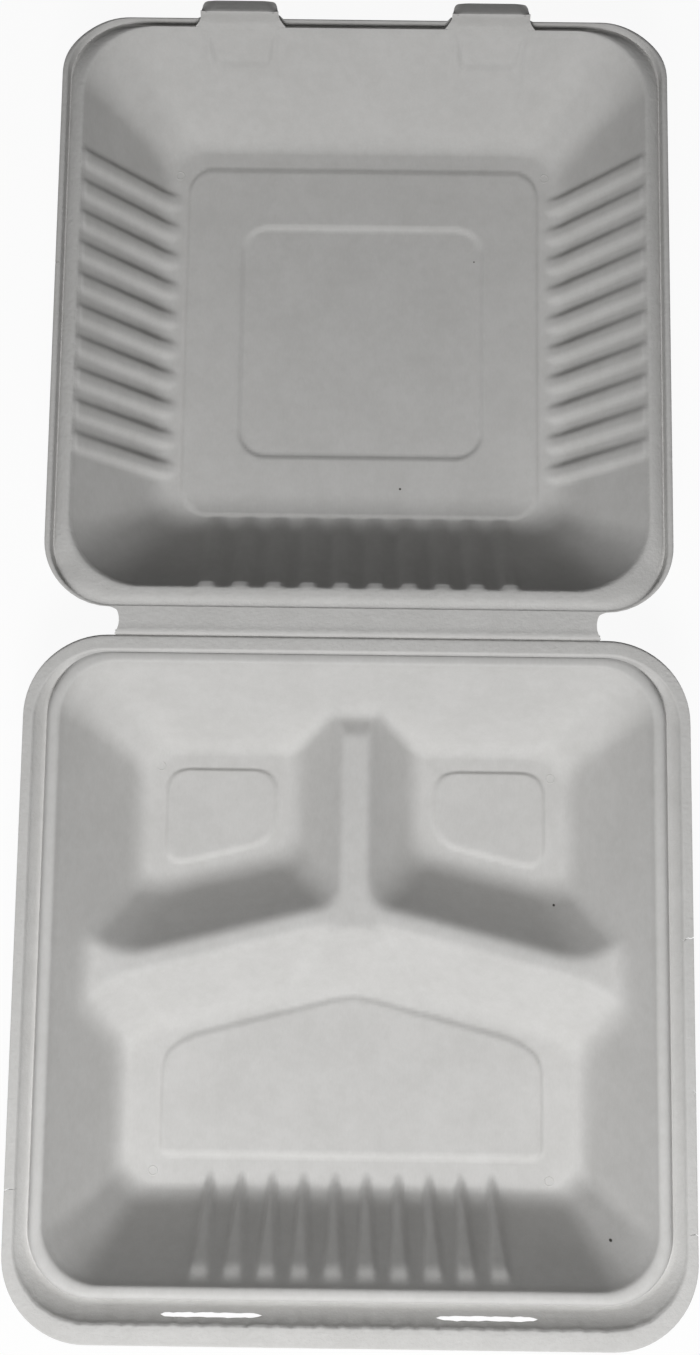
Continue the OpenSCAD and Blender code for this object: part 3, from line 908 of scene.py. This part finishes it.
class Graph:
    """The node tree of one material."""

    def __init__(self, name: str) -> None:
        """Makes an empty material with an output."""
        self.material = bpy.data.materials.new(name)
        self.material.use_nodes = True
        self.tree = self.material.node_tree
        self.tree.nodes.clear()
        self.output = self.tree.nodes.new("ShaderNodeOutputMaterial")

    def node(self, kind: str, settings: dict, inputs: Union[list, dict],
             output: Union[int, str] = 0) -> Term:
        """Adds a node.

        Args:
            kind: the node's type.
            settings: attributes of the node, set before its sockets.
            inputs: values or links of its sockets, in order or by name.
            output: which output is returned.

        Returns:
            The output as a term.
        """
        made = self.tree.nodes.new(kind)
        for key, value in settings.items():
            setattr(made, key, value)
        pairs = inputs.items() if isinstance(inputs, dict) else enumerate(inputs)
        for key, value in pairs:
            if isinstance(value, Term):
                self.tree.links.new(value.socket, made.inputs[key])
            elif value is not None:
                made.inputs[key].default_value = value
        return Term(self, made.outputs[output])

    def place(self) -> Term:
        """Place on the object, in metres."""
        return self.node("ShaderNodeTexCoord", {}, [], "Object")

    def noise(self, where: Term, scale: float, detail: float, rough: float = 0.5) -> Term:
        """Noise from 0 to 1 at a scale per metre."""
        return self.node("ShaderNodeTexNoise", {"noise_dimensions": "3D"},
                         {"Vector": where, "Scale": scale, "Detail": detail, "Roughness": rough}, "Fac")

    def attribute(self, name: str) -> Term:
        """A value kept on the mesh's points."""
        return self.node("ShaderNodeAttribute", {"attribute_name": name}, [], "Fac")

    def stretch(self, where: Term, scale: tuple[float, float, float]) -> Term:
        """A place scaled along each axis."""
        return self.node("ShaderNodeVectorMath", {"operation": "MULTIPLY"}, [where, scale], "Vector")

    def ramp(self, value: Term, low: float, high: float) -> Term:
        """A smooth step of the value from 0 at low to 1 at high."""
        return self.node("ShaderNodeMapRange", {"interpolation_type": "SMOOTHSTEP"},
                         {"Value": value, "From Min": low, "From Max": high}, "Result")

    def colour(self, factor: Operand, a: Union[Term, tuple], b: Union[Term, tuple]) -> Term:
        """Colour a at 0 and b at 1."""
        return self.node("ShaderNodeMix", {"data_type": "RGBA"}, {0: factor, 6: a, 7: b}, 2)

    def finish(self, shader: Term) -> bpy.types.Material:
        """Links the shader to the output and returns the material."""
        self.tree.links.new(shader.socket, self.output.inputs["Surface"])
        return self.material


@dataclass(frozen=True)
class PulpFinish:
    """Moulded pulp: smooth and faintly mottled inside, felted on the rims, wire marked outside."""

    name: str
    tone: tuple[float, float, float, float]
    shade: tuple[float, float, float, float]
    specks: tuple[tuple[float, float, float], ...] = ()
    speck_tone: tuple[float, float, float, float] = (0.05, 0.045, 0.04, 1.0)
    roughness: float = 0.86
    felt_height: float = 0.34
    grain_height: float = 0.035

    def make(self) -> bpy.types.Material:
        """Builds the material.

        Returns:
            The pulp's material.
        """
        g = Graph(self.name)
        where = g.place()
        felt_and_shade = g.attribute("felt_and_shade")
        outside = g.attribute("outside")
        mottle = g.noise(where, 55.0, 4.0, 0.55)
        blotch = g.noise(where, 260.0, 3.0, 0.6)
        fibre = g.noise(g.stretch(where, (1.0, 0.35, 1.0)), 1500.0, 3.0, 0.6)
        felting = g.noise(where, 620.0, 5.0, 0.62)
        tangle = g.noise(g.stretch(where, (0.4, 1.0, 1.0)), 900.0, 4.0, 0.65)
        wire = self.wire_marks(g, where)
        dark = (0.42 * mottle + 0.33 * blotch + 0.25 * fibre)
        tone = g.colour(g.ramp(dark, 0.3, 0.7), self.shade, self.tone)
        # Felted places turn in patches towards the darker shade colour: painted shade for the small
        # shadows of the rough felt.
        tone = g.colour((felt_and_shade * g.ramp(felting, 0.62, 0.36) * 0.3).clamped(), tone, self.shade)
        plan = g.stretch(where, (1.0, 1.0, 0.0))
        for x, y, r in self.specks:
            away = g.node("ShaderNodeVectorMath", {"operation": "DISTANCE"},
                          [plan, (x * MM, y * MM, 0.0)], "Value")
            speck = g.ramp(away + (blotch - 0.5) * 0.0006, r * MM, 0.5 * r * MM) * (1.0 - outside)
            tone = g.colour(speck, tone, self.speck_tone)
        height = (felt_and_shade * (felting * 0.65 + tangle * 0.35) * self.felt_height
                  + (mottle - 0.5) * 0.08 + fibre * self.grain_height + outside * wire * 0.05)
        bump = g.node("ShaderNodeBump", {}, {"Strength": 1.0, "Distance": MM, "Height": height}, "Normal")
        rough = self.roughness + 0.08 * (fibre - 0.5)
        shader = g.node("ShaderNodeBsdfPrincipled", {}, {
            "Base Color": tone, "Roughness": rough, "Normal": bump,
            "Specular IOR Level": 0.3, "Sheen Weight": 0.06, "Sheen Roughness": 0.6}, "BSDF")
        return g.finish(shader)

    @staticmethod
    def wire_marks(g: Graph, where: Term) -> Term:
        """Marks of the forming wire, a fine square mesh pressed into the outside."""
        waves = []
        for axis in ("X", "Y"):
            waves.append(g.node("ShaderNodeTexWave", {"bands_direction": axis, "wave_profile": "SIN"},
                                {"Vector": where, "Scale": 260.0, "Distortion": 1.2, "Detail": 1.0,
                                 "Detail Scale": 2.0}, "Fac"))
        return waves[0] * waves[1]


def paint_masks(piece: bpy.types.Object, tray: Optional[Tray], felt_and_shade: Optional[float] = None) -> None:
    """Keeps on each point how felted the sheet is there, a share that also darkens it as painted shade,
    and whether it is the outside.

    Args:
        piece: the object.
        tray: the tray whose plan gives the felted share; None for a small piece.
        felt_and_shade: one felted share for the whole piece, which also sets its painted shade.
    """
    mesh = piece.data
    co = np.zeros(len(mesh.vertices) * 3)
    mesh.vertices.foreach_get("co", co)
    co = co.reshape(-1, 3) / MM
    normal = np.zeros(len(mesh.vertices) * 3)
    mesh.vertices.foreach_get("normal", normal)
    down = normal.reshape(-1, 3)[:, 2] < DOWNWARD
    if tray is None:
        rough = np.full(len(co), felt_and_shade)
    else:
        sign = 1.0 if tray.body is Body.LID else -1.0
        rough = felt_and_shade_at(tray, co[:, 0], sign * (co[:, 1] - FOLD_Y))
    for name, values in (("felt_and_shade", rough), ("outside", down.astype(float))):
        layer = mesh.attributes.new(name, "FLOAT", "POINT")
        layer.data.foreach_set("value", values.astype(np.float32))


def felt_and_shade_at(tray: Tray, x: Array, v: Array) -> Array:
    """How felted a tray's sheet is at a place of its plan, a share that also sets its painted shade.

    Args:
        tray: the tray.
        x: places across.
        v: distances from the fold.

    Returns:
        Values from 0, smooth, to 1, felted.
    """
    value = np.zeros_like(x)
    for line in tray.rim():
        centre = (line.near + line.far) / 2.0
        half = (line.half_width, (line.far - line.near) / 2.0)
        inside = box_distance(x, v - centre, half, line.radius)
        value = np.where(inside > -FELT_MARGIN, line.felt_and_shade, value)
    return value


# Damage ----------------------------------------------------------------------------------------


@dataclass(frozen=True)
class Crack:
    """A short tear in a rim, as a jagged wedge that is cut out of the sheet."""

    start: tuple[float, float]
    end: tuple[float, float]
    width: float

    def outline(self, seed: int) -> Array:
        """The wedge's outline in plan, widest at the start."""
        rng = np.random.default_rng(seed)
        a, b = np.array(self.start), np.array(self.end)
        along = (b - a) / np.linalg.norm(b - a)
        across = np.array([-along[1], along[0]])
        share = np.linspace(-0.06, 1.0, 8)
        wander = rng.uniform(-0.35, 0.35, len(share))
        middle = a + share[:, None] * (b - a) + wander[:, None] * across
        half = self.width / 2.0 * (1.05 - share)
        left, right = middle + half[:, None] * across, middle - half[:, None] * across
        return np.concatenate([left, right[::-1]])


def prism(name: str, outline: Array, low: float, high: float) -> bpy.types.Object:
    """An upright prism over an outline in plan, used to cut a tray.

    Args:
        name: the object's name.
        outline: anticlockwise or clockwise corners in millimetres.
        low: bottom in millimetres.
        high: top in millimetres.

    Returns:
        The prism's object.
    """
    n = len(outline)
    low_ring = np.column_stack([outline, np.full(n, low)])
    high_ring = np.column_stack([outline, np.full(n, high)])
    x, y = outline.T
    area = np.sum(x * np.roll(y, -1) - y * np.roll(x, -1))
    ring = list(range(n)) if area > 0 else list(range(n))[::-1]
    faces: list[tuple[int, ...]] = [tuple(reversed(ring)), tuple(n + i for i in ring)]
    faces += [(ring[i], ring[(i + 1) % n], n + ring[(i + 1) % n], n + ring[i]) for i in range(n)]
    mesh = bpy.data.meshes.new(name)
    mesh.from_pydata((np.concatenate([low_ring, high_ring]) * MM).tolist(), [], faces)
    cutter = bpy.data.objects.new(name, mesh)
    bpy.context.scene.collection.objects.link(cutter)
    return cutter


def cut(piece: bpy.types.Object, cutters: list[bpy.types.Object]) -> None:
    """Cuts the cutters out of a piece and deletes them.

    Args:
        piece: the object that is cut.
        cutters: closed objects.
    """
    for cutter in cutters:
        modifier = piece.modifiers.new("cut", "BOOLEAN")
        modifier.operation = "DIFFERENCE"
        modifier.solver = "MANIFOLD"
        modifier.object = cutter
    graph = bpy.context.evaluated_depsgraph_get()
    mesh = bpy.data.meshes.new_from_object(piece.evaluated_get(graph))
    piece.modifiers.clear()
    old = piece.data
    piece.data = mesh
    bpy.data.meshes.remove(old)
    for cutter in cutters:
        bpy.data.objects.remove(cutter)


# Small pieces ----------------------------------------------------------------------------------


def ejector_ring(name: str, centre: tuple[float, float], level: float) -> bpy.types.Object:
    """A faint raised ring that an ejector pin leaves on a floor.

    Args:
        name: the piece's name.
        centre: its middle in the frame of the part, in millimetres.
        level: height of the floor.

    Returns:
        The ring's object.
    """
    turns, bends, radius, thick, sunk, flat = 36, 8, 1.55, 0.3, 0.12, 0.85
    turn = np.arange(turns) * 2.0 * math.pi / turns
    bend = np.arange(bends) * 2.0 * math.pi / bends
    t, b = np.meshgrid(turn, bend, indexing="ij")
    reach = radius + thick * np.cos(b)
    points = np.stack([centre[0] + reach * np.cos(t), centre[1] + reach * np.sin(t),
                       level - sunk + flat * thick * np.sin(b)], axis=-1).reshape(-1, 3)
    index = np.arange(turns * bends).reshape(turns, bends)
    after, up = np.roll(index, -1, axis=0), np.roll(index, -1, axis=1)
    corner = np.roll(after, -1, axis=1)
    sheet = Sheet()
    sheet.quads(index.ravel(), after.ravel(), corner.ravel(), up.ravel())
    return make_mesh(name, points * MM, sheet.faces, 80.0)


def fold_strip() -> bpy.types.Object:
    """The pressed paper of the fold, a thin strip inside the sheet that joins both trays."""
    half_length, half_width, crease = 84.2, 1.7, 0.45
    across = np.linspace(-1.0, 1.0, 17)
    along = np.linspace(-half_length, half_length, 41)
    v, x = np.meshgrid(across * half_width, along, indexing="ij")
    top = np.where(np.abs(v) < crease, -0.9, -0.8) + RIM_Z
    underside = np.full_like(x, RIM_Z - 0.97)
    points = np.concatenate(
        [np.stack([x, v + FOLD_Y, z], axis=-1).reshape(-1, 3) for z in (top, underside)])
    index = np.arange(x.size).reshape(x.shape)
    low = index + x.size
    edge, low_edge = around(index), around(low)
    sheet = Sheet()
    Tray.add_faces(sheet, index[:-1, :-1], index[:-1, 1:], index[1:, 1:], index[1:, :-1], False)
    Tray.add_faces(sheet, low[:-1, :-1], low[:-1, 1:], low[1:, 1:], low[1:, :-1], True)
    sheet.quads(np.roll(edge, -1), edge, low_edge, np.roll(low_edge, -1))
    return make_mesh("fold_strip", points * MM, sheet.faces, 60.0)


# Studio ----------------------------------------------------------------------------------------


@dataclass(frozen=True)
class AreaLamp:
    """A soft rectangular lamp that looks at a point."""

    name: str
    place: tuple[float, float, float]
    target: tuple[float, float, float]
    size: float
    power: float

    def make(self) -> bpy.types.Object:
        """Makes the lamp."""
        data = bpy.data.lights.new(self.name, "AREA")
        data.shape = "SQUARE"
        data.size = self.size
        data.energy = self.power
        lamp = bpy.data.objects.new(self.name, data)
        lamp.location = self.place
        aim = Vector(self.target) - Vector(self.place)
        lamp.rotation_euler = aim.to_track_quat("-Z", "Y").to_euler()
        bpy.context.scene.collection.objects.link(lamp)
        return lamp


@dataclass(frozen=True)
class Studio:
    """Camera, lamps, world and the pale floor."""

    camera_place: tuple[float, float, float] = (-0.00055, -0.08374, 0.5889)
    camera_turn: tuple[float, float, float] = (7.605, 0.097, 0.753)
    lens: float = 42.509
    lamps: tuple[AreaLamp, ...] = (
        AreaLamp("key_lamp", (0.0, -0.528, 0.716), (0.0, -0.04, 0.02), 0.26, 6.0),
        AreaLamp("side_lamp", (-0.273, -0.513, 0.671), (0.0, -0.04, 0.02), 0.3, 1.1),
    )
    ambient: float = 0.05
    floor_half: float = 8.0
    floor_white: float = 0.94

    def camera(self) -> None:
        """Makes the camera at the photograph's place."""
        data = bpy.data.cameras.new("camera")
        data.sensor_width = 36.0
        data.lens = self.lens
        data.clip_start = 0.01
        camera = bpy.data.objects.new("camera", data)
        camera.location = self.camera_place
        camera.rotation_euler = Euler([math.radians(a) for a in self.camera_turn], "XYZ")
        bpy.context.scene.collection.objects.link(camera)
        bpy.context.scene.camera = camera

    def floor(self) -> None:
        """Lays the pale floor, which shows white and keeps a faint shadow."""
        half = self.floor_half
        points = np.array(
            [(-half, -half, 0.0), (half, -half, 0.0), (half, half, 0.0), (-half, half, 0.0)])
        floor = make_mesh("floor", points, [(0, 1, 2, 3)], 30.0)
        g = Graph("floor_white")
        seen = g.node("ShaderNodeLightPath", {}, [], "Is Camera Ray")
        paper = g.node("ShaderNodeBsdfDiffuse", {}, {"Color": (0.72, 0.72, 0.72, 1.0)}, "BSDF")
        glow = g.node(
            "ShaderNodeEmission", {}, {"Color": (1.0, 1.0, 1.0, 1.0), "Strength": 1.0}, "Emission")
        floor.data.materials.append(g.finish(
            g.node("ShaderNodeMixShader", {}, [seen * self.floor_white, paper, glow], "Shader")))

    def world(self) -> None:
        """Fills the world with an even pale light."""
        world = bpy.data.worlds.new("world")
        world.use_nodes = True
        tree = world.node_tree
        tree.nodes.clear()
        path = tree.nodes.new("ShaderNodeLightPath")
        level = tree.nodes.new("ShaderNodeMapRange")
        level.inputs["To Min"].default_value = self.ambient
        level.inputs["To Max"].default_value = 1.0
        back = tree.nodes.new("ShaderNodeBackground")
        back.inputs["Color"].default_value = (1.0, 1.0, 1.0, 1.0)
        out = tree.nodes.new("ShaderNodeOutputWorld")
        tree.links.new(path.outputs["Is Camera Ray"], level.inputs["Value"])
        tree.links.new(level.outputs["Result"], back.inputs["Strength"])
        tree.links.new(back.outputs["Background"], out.inputs["Surface"])
        bpy.context.scene.world = world

    def make(self) -> None:
        """Sets the whole studio up."""
        self.camera()
        self.floor()
        self.world()
        for lamp in self.lamps:
            lamp.make()
        bpy.context.scene.view_settings.view_transform = "Standard"


# The container ---------------------------------------------------------------------------------


@dataclass
class Clamshell:
    """The whole container: both trays, the fold, the tongues and the marks on them."""

    base: BaseTray = field(default_factory=BaseTray)
    lid: LidTray = field(default_factory=LidTray)
    base_cracks: tuple[Crack, ...] = (
        Crack((115.2, -97.8), (110.3, -99.0), 0.45),
        Crack((115.2, -194.8), (112.0, -195.0), 0.4),
        Crack((115.2, -148.6), (113.4, -148.7), 0.3),
        Crack((-115.2, -183.6), (-110.8, -183.2), 0.45),
    )
    lid_cracks: tuple[Crack, ...] = (
        Crack((-110.2, 138.2), (-107.4, 138.0), 0.4),
        Crack((-110.2, 77.3), (-108.2, 77.2), 0.22),
    )
    base_rings: tuple[tuple[float, float], ...] = (
        (-71.5, -39.0), (71.5, -42.0), (-70.5, -183.3), (70.6, -185.3))
    lid_rings: tuple[tuple[float, float], ...] = (
        (-70.7, 189.8), (69.9, 190.3), (-69.2, 51.5), (71.4, 50.2))

    def finishes(self) -> dict[Body, bpy.types.Material]:
        """Makes one pulp for each tray."""
        tone, shade = (0.585, 0.58, 0.57, 1.0), (0.525, 0.52, 0.508, 1.0)
        base = PulpFinish("pulp_base", tone, shade, ((72.0, -87.8, 0.6), (88.6, -200.2, 0.6)))
        lid = PulpFinish("pulp_lid", tone, shade, ((15.3, 66.3, 0.5), (42.9, 156.3, 0.4)))
        return {Body.BASE: base.make(), Body.LID: lid.make()}

    def dress(self, piece: bpy.types.Object, body: Body, material: bpy.types.Material) -> None:
        """Gives a piece its finish, and makes it ride on its body.

        Args:
            piece: the object.
            body: the body that carries it.
            material: its pulp.
        """
        piece.data.materials.clear()
        piece.data.materials.append(material)
        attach(piece, body.value)
        log.info("%s rides on %s, %d faces", piece.name, body.value, len(piece.data.polygons))

    def cutters(self) -> dict[Body, list[bpy.types.Object]]:
        """Makes what is cut out of each tray: the lock slots and the small tears."""
        slots = []
        for side in Side:
            x = side.value * self.lid.tongue_x
            run = np.linspace(-SLOT_HALF_LENGTH, SLOT_HALF_LENGTH, 25)
            taper = np.sqrt(np.clip(1.0 - np.abs(run / SLOT_HALF_LENGTH) ** 9, 0.03, 1.0))
            near = FOLD_Y - SLOT_V + taper * (SLOT_HALF_WIDTH + ragged(run + 3.0 * x, 0.2))
            far = FOLD_Y - SLOT_V - taper * (SLOT_HALF_WIDTH + ragged(run + 5.0 * x, 0.2))
            near_edge, far_edge = np.column_stack([x + run, near]), np.column_stack([x + run, far])
            outline = np.concatenate([near_edge[::-1], far_edge])
            slots.append(prism("slot_cut", outline, RIM_Z - 14.0, RIM_Z + 4.0))
        base, lid = (
            [prism("tear", crack.outline(seed), RIM_Z - 6.0, RIM_Z + 4.0)
             for seed, crack in enumerate(cracks, first_seed)]
            for cracks, first_seed in ((self.base_cracks, 11), (self.lid_cracks, 31)))
        return {Body.BASE: slots + base, Body.LID: lid}

    def build(self) -> None:
        """Builds and dresses every piece."""
        pulp = self.finishes()
        cutters = self.cutters()
        for tray in (self.base, self.lid):
            piece = tray.build()
            cut(piece, cutters[tray.body])
            paint_masks(piece, tray)
            self.dress(piece, tray.body, pulp[tray.body])
            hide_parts(tray.body.value)
        for side in Side:
            tongue = tongue_mesh(self.lid, side)
            # Half felted, so the tongues take a little painted shade all over, standing in for their
            # shaded tops, besides the felt's bumps.
            paint_masks(tongue, None, 0.5)
            self.dress(tongue, Body.LID, pulp[Body.LID])
        floor_z = RIM_Z - DEPTH
        for tray, rings in ((self.base, self.base_rings), (self.lid, self.lid_rings)):
            for number, centre in enumerate(rings, 1):
                ring = ejector_ring(f"ejector_mark_{tray.body.value}_{number}", centre, floor_z)
                paint_masks(ring, None, 0.0)
                self.dress(ring, tray.body, pulp[tray.body])
        strip = fold_strip()
        paint_masks(strip, None, 0.7)
        strip.data.materials.append(pulp[Body.BASE])
        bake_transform(strip)
        log.info("fold_strip bends between base and lid")


def main() -> None:
    """Builds the studio and the container."""
    logging.basicConfig(level=logging.INFO, format="%(name)s: %(message)s")
    Studio().make()
    Clamshell().build()


if __name__ == "__main__":
    main()
